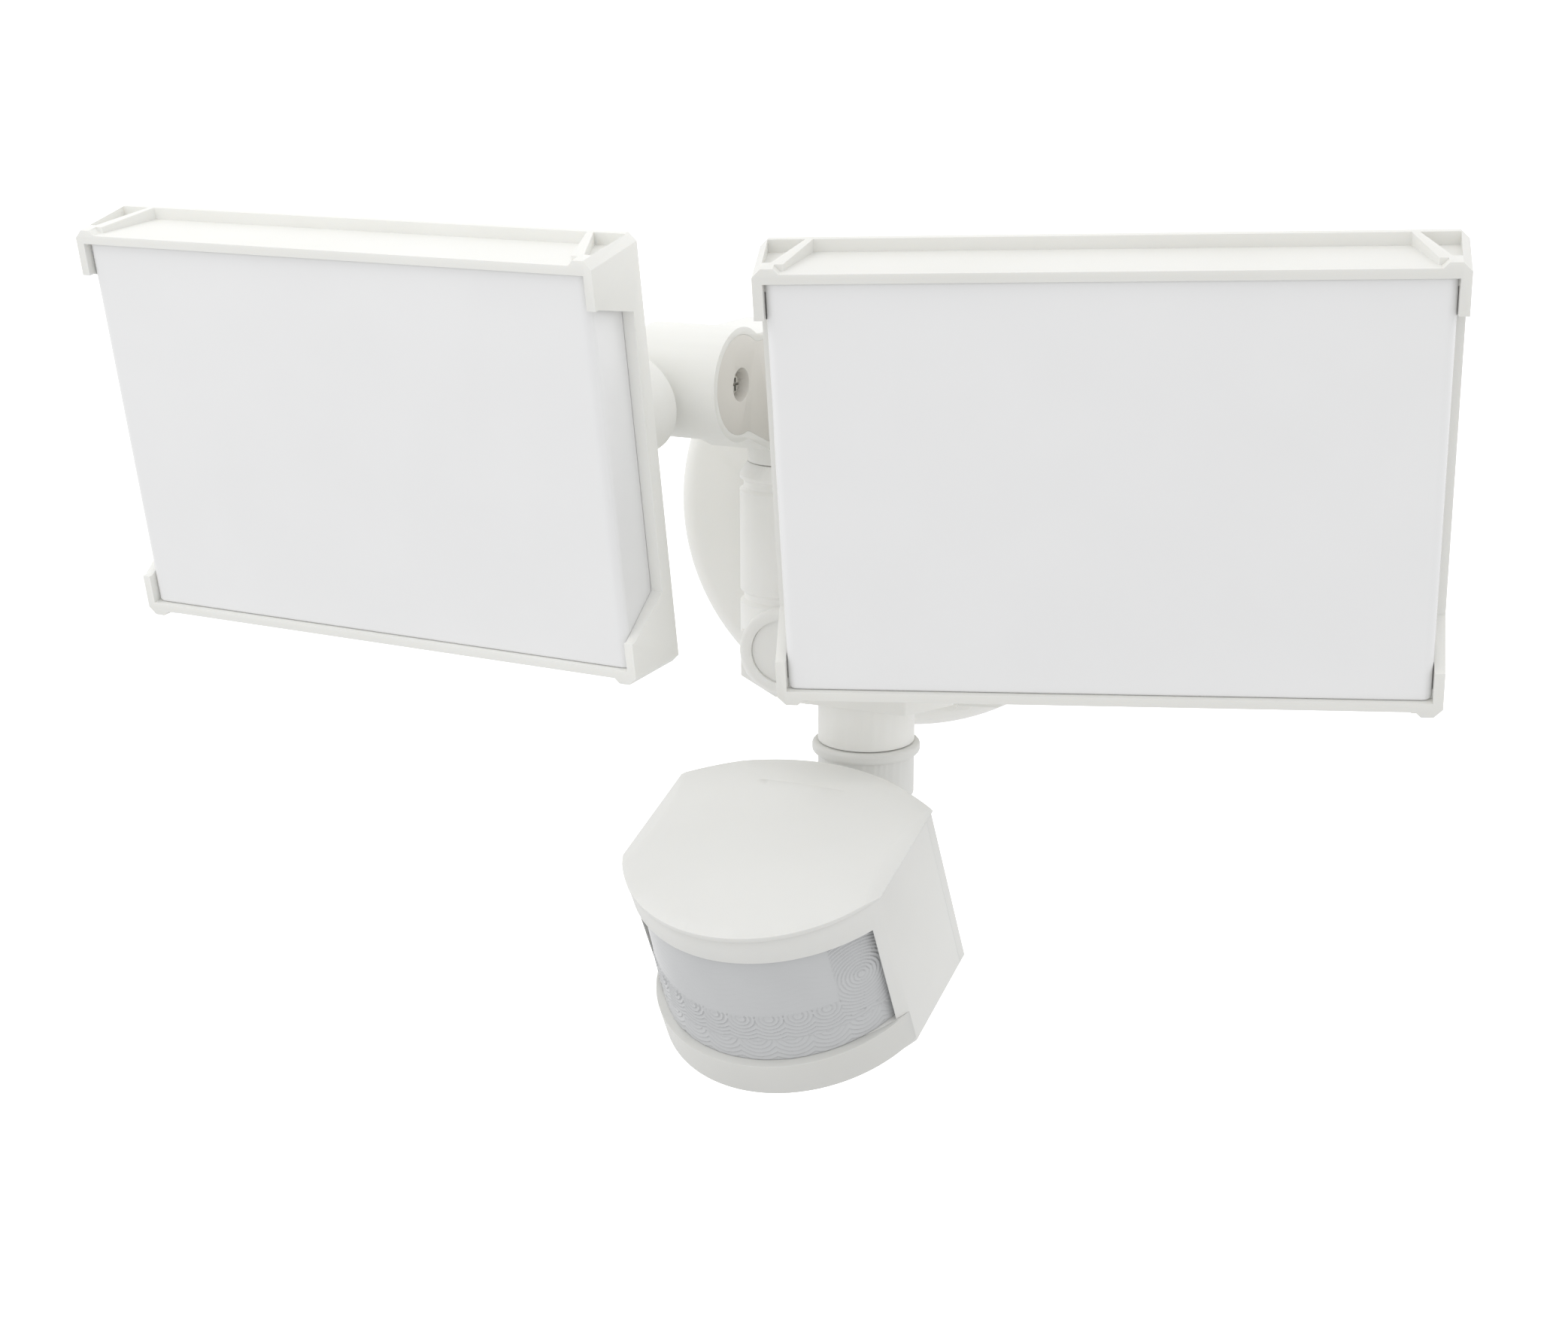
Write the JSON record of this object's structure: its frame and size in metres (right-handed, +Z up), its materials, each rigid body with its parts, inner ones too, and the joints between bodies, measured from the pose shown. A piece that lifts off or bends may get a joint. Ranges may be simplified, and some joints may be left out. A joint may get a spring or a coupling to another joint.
{
  "type": "motion-sensor floodlight",
  "caption": "Wall-mounted floodlight: two tilting LED panel heads on swivel arms, with a motion sensor on a swivel neck below a round plate.",
  "frame": {"origin": "centre of the mounting bar, on the wall plane", "axes": "+Z up, -Y out from the wall into the open, +X to the right as seen from the front"},
  "size_m": [0.3685, 0.1656, 0.2179],
  "materials": {
    "housing": "fine moulded satin",
    "diffuser": "opal, smooth",
    "lens": "translucent polyethylene",
    "gasket": "closed-cell foam",
    "circuit_board": "solder mask",
    "driver_case": "moulded",
    "knob": "moulded",
    "emitter": "phosphor",
    "spreader": "rolled",
    "white_board": "white solder mask",
    "steel": "zinc plated"
  },
  "bodies": {
    "mount_body": {"control_board": "circuit_board", "hub_base": "housing", "hub_column": "housing", "hub_nose": "housing", "left_post": "housing", "left_post_cap": "housing", "mounting_bar": "steel", "mounting_screws": "steel", "plate_gasket": "gasket", "relay": "driver_case", "right_post": "housing", "right_post_cap": "housing", "terminal_block": "white_board", "wall_plate": "housing"},
    "left_elbow": {"left_elbow_shell": "housing", "left_elbow_cover": "housing", "left_clamp_screw": "steel", "left_pan_stem": "steel"},
    "left_head": {"left_diffuser": "diffuser", "left_head_bracket": "housing", "left_head_housing": "housing", "left_head_screws": "steel", "left_heat_spreader": "spreader", "left_led_board": "white_board", "left_led_chips": "emitter", "left_led_driver": "driver_case", "left_tilt_shaft": "steel"},
    "right_elbow": {"right_elbow_shell": "housing", "right_elbow_cover": "housing", "right_clamp_screw": "steel", "right_pan_stem": "steel"},
    "right_head": {"right_diffuser": "diffuser", "right_head_bracket": "housing", "right_head_housing": "housing", "right_head_screws": "steel", "right_heat_spreader": "spreader", "right_led_board": "white_board", "right_led_chips": "emitter", "right_led_driver": "driver_case", "right_tilt_shaft": "steel"},
    "sensor_neck": {"sensor_neck_tube": "housing"},
    "sensor_head": {"sensor_top_cover": "housing", "sensor_front_housing": "housing", "sensor_chin": "housing", "sensor_lens": "lens", "sensor_rear_cover": "housing", "sensor_hinge_pin": "steel", "sensor_board": "circuit_board", "pir_element": "steel", "sensor_rear_screws": "steel"},
    "time_knob_body": {"time_knob": "knob"},
    "range_knob_body": {"range_knob": "knob"},
    "light_knob_body": {"light_knob": "knob"}
  },
  "joints": [
    {"name": "left_pan", "type": "hinge", "parent": "mount_body", "child": "left_elbow", "pos_m": [-0.0296, -0.04, 0.0193], "axis": [0, 0, 1], "range_deg": [-14, 12]},
    {"name": "left_tilt", "type": "hinge", "parent": "left_elbow", "child": "left_head", "pos_m": [-0.03866, -0.06964, 0.0452], "axis": [0.9563, -0.2924, 0], "range_deg": [-40, 20]},
    {"name": "right_pan", "type": "hinge", "parent": "mount_body", "child": "right_elbow", "pos_m": [0.0296, -0.04, 0.0193], "axis": [0, 0, 1], "range_deg": [-6, 35]},
    {"name": "right_tilt", "type": "hinge", "parent": "right_elbow", "child": "right_head", "pos_m": [0.03014, -0.071, 0.0452], "axis": [0.9998, 0.0175, 0], "range_deg": [-40, 2]},
    {"name": "sensor_pan", "type": "hinge", "parent": "mount_body", "child": "sensor_neck", "pos_m": [-0.0013, -0.078, -0.05], "axis": [0, 0, 1], "range_deg": [-60, 75]},
    {"name": "sensor_tilt", "type": "hinge", "parent": "sensor_neck", "child": "sensor_head", "pos_m": [-0.0013, -0.078, -0.075], "axis": [0.9511, -0.309, 0], "range_deg": [-6, 30]},
    {"name": "time_dial", "type": "hinge", "parent": "sensor_head", "child": "time_knob_body", "pos_m": [-0.02825, -0.10776, -0.1087], "axis": [-0.1502, -0.3686, 0.9174], "range_deg": [-135, 135]},
    {"name": "range_dial", "type": "hinge", "parent": "sensor_head", "child": "range_knob_body", "pos_m": [-0.0112, -0.11351, -0.10822], "axis": [-0.1502, -0.3686, 0.9174], "range_deg": [-135, 135]},
    {"name": "light_dial", "type": "hinge", "parent": "sensor_head", "child": "light_knob_body", "pos_m": [0.00585, -0.11927, -0.10774], "axis": [-0.1502, -0.3686, 0.9174], "range_deg": [-135, 135]}
  ]
}
